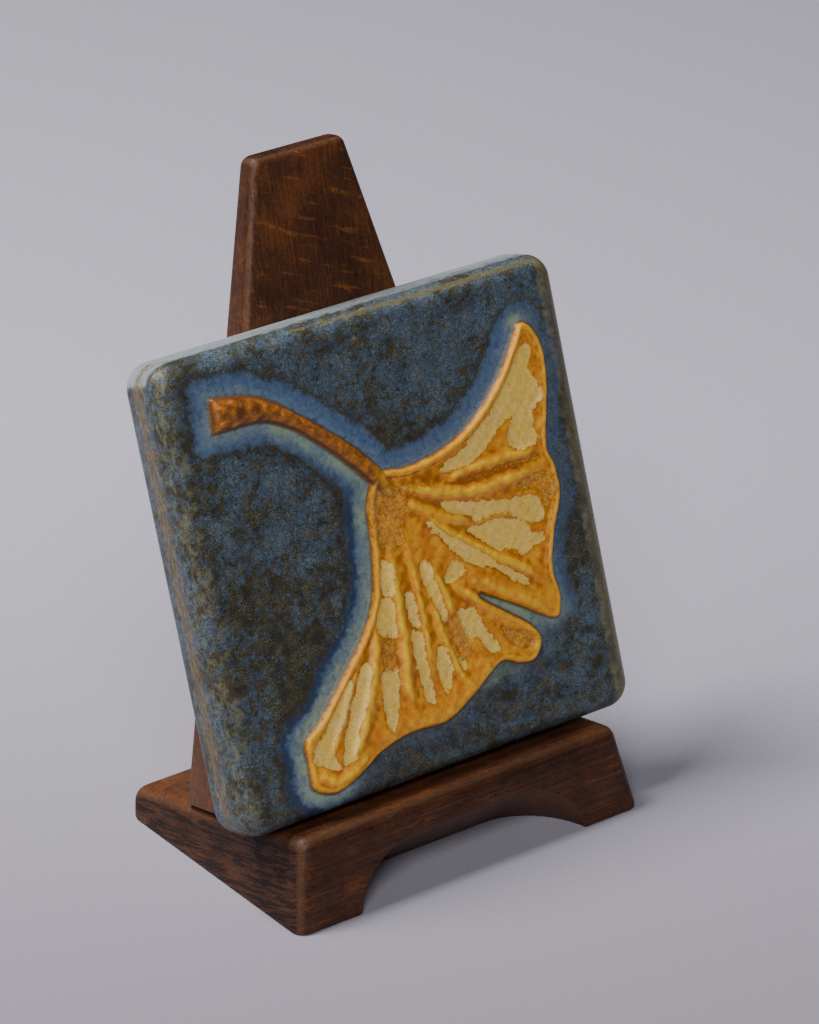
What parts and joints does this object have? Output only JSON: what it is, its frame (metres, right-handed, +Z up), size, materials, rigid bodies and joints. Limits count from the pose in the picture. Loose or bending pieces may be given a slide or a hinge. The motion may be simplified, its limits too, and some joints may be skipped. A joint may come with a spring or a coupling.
{
  "type": "decorative tile on an easel",
  "caption": "Square glazed ceramic tile with a ginkgo leaf in relief, leaning on a small oak easel with a sloped, arched base and a tapered upright.",
  "frame": {"origin": "under the middle of the whole object's box, on the surface that it stands on", "axes": "+Z up; -Y towards the viewer, the way the tile's leaf faces; +X to the viewer's right"},
  "size_m": [0.1016, 0.0654, 0.1443],
  "materials": {
    "mottled_glaze": "semi-matt mottled slate-blue and brown glaze, amber and cream on the leaf",
    "oak_base": "dark red-brown stained oak, satin",
    "oak_upright": "dark red-brown stained quartersawn oak with ray flecks, satin"
  },
  "bodies": {
    "root": {"tile": "mottled_glaze", "easel_base": "oak_base", "easel_upright": "oak_upright"}
  },
  "joints": []
}
